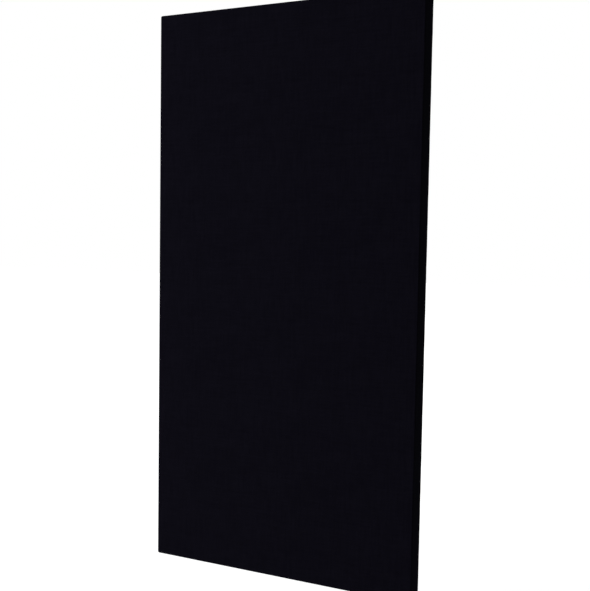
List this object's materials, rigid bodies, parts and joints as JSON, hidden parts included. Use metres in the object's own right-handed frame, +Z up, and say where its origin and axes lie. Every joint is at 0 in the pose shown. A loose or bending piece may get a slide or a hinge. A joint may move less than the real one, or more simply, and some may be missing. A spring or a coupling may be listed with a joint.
{
  "type": "acoustic foam panel",
  "caption": "Flat rectangular sound-absorbing panel: foam in a timber frame under stretched black cloth, with D-ring wall hangers and rubber feet on the back.",
  "frame": {"origin": "middle of the wall plane, which the faces of the four rubber feet touch", "axes": "+X to the right as seen from the front, +Y into the wall (the cloth front faces -Y), +Z up"},
  "size_m": [0.6096, 0.0588, 1.2192],
  "materials": {
    "black_cloth": "plain-woven acoustic cloth, matte",
    "black_lining": "spunbonded nonwoven, matte",
    "grey_foam": "open-cell foam",
    "softwood": "planed, unfinished",
    "plywood": "sanded, unfinished",
    "nickel_plate": "bright nickel plate",
    "zinc_screw": "zinc plate",
    "black_rubber": "moulded, matte"
  },
  "bodies": {
    "panel": {"cover_cloth": "black_cloth", "foam_core": "grey_foam", "back_lining": "black_lining", "left_stile": "softwood", "right_stile": "softwood", "top_rail": "softwood", "bottom_rail": "softwood", "top_left_gusset": "plywood", "top_right_gusset": "plywood", "bottom_left_gusset": "plywood", "bottom_right_gusset": "plywood", "hanging_rail": "plywood", "lower_brace": "plywood", "top_left_corner_screw_1": "zinc_screw", "top_left_corner_screw_2": "zinc_screw", "top_right_corner_screw_1": "zinc_screw", "top_right_corner_screw_2": "zinc_screw", "bottom_left_corner_screw_1": "zinc_screw", "bottom_left_corner_screw_2": "zinc_screw", "bottom_right_corner_screw_1": "zinc_screw", "bottom_right_corner_screw_2": "zinc_screw", "top_left_gusset_screw_1": "zinc_screw", "top_left_gusset_screw_2": "zinc_screw", "top_left_gusset_screw_3": "zinc_screw", "top_right_gusset_screw_1": "zinc_screw", "top_right_gusset_screw_2": "zinc_screw", "top_right_gusset_screw_3": "zinc_screw", "bottom_left_gusset_screw_1": "zinc_screw", "bottom_left_gusset_screw_2": "zinc_screw", "bottom_left_gusset_screw_3": "zinc_screw", "bottom_right_gusset_screw_1": "zinc_screw", "bottom_right_gusset_screw_2": "zinc_screw", "bottom_right_gusset_screw_3": "zinc_screw", "hanging_rail_left_screw_top": "zinc_screw", "hanging_rail_left_screw_bottom": "zinc_screw", "hanging_rail_right_screw_top": "zinc_screw", "hanging_rail_right_screw_bottom": "zinc_screw", "lower_brace_left_screw_top": "zinc_screw", "lower_brace_left_screw_bottom": "zinc_screw", "lower_brace_right_screw_top": "zinc_screw", "lower_brace_right_screw_bottom": "zinc_screw", "left_hanger_strap": "nickel_plate", "right_hanger_strap": "nickel_plate", "left_hanger_screw_1": "zinc_screw", "left_hanger_screw_2": "zinc_screw", "right_hanger_screw_1": "zinc_screw", "right_hanger_screw_2": "zinc_screw", "top_left_foot": "black_rubber", "top_right_foot": "black_rubber", "bottom_left_foot": "black_rubber", "bottom_right_foot": "black_rubber", "top_left_foot_screw": "zinc_screw", "top_right_foot_screw": "zinc_screw", "bottom_left_foot_screw": "zinc_screw", "bottom_right_foot_screw": "zinc_screw"},
    "left_ring": {"left_hanger_ring": "nickel_plate"},
    "right_ring": {"right_hanger_ring": "nickel_plate"}
  },
  "joints": [
    {"name": "left_ring_swing", "type": "hinge", "parent": "panel", "child": "left_ring", "pos_m": [-0.2098, -0.0047, 0.3272], "axis": [1, 0, 0], "range_deg": [0, 176]},
    {"name": "right_ring_swing", "type": "hinge", "parent": "panel", "child": "right_ring", "pos_m": [0.2098, -0.0047, 0.3272], "axis": [1, 0, 0], "range_deg": [0, 176]}
  ]
}
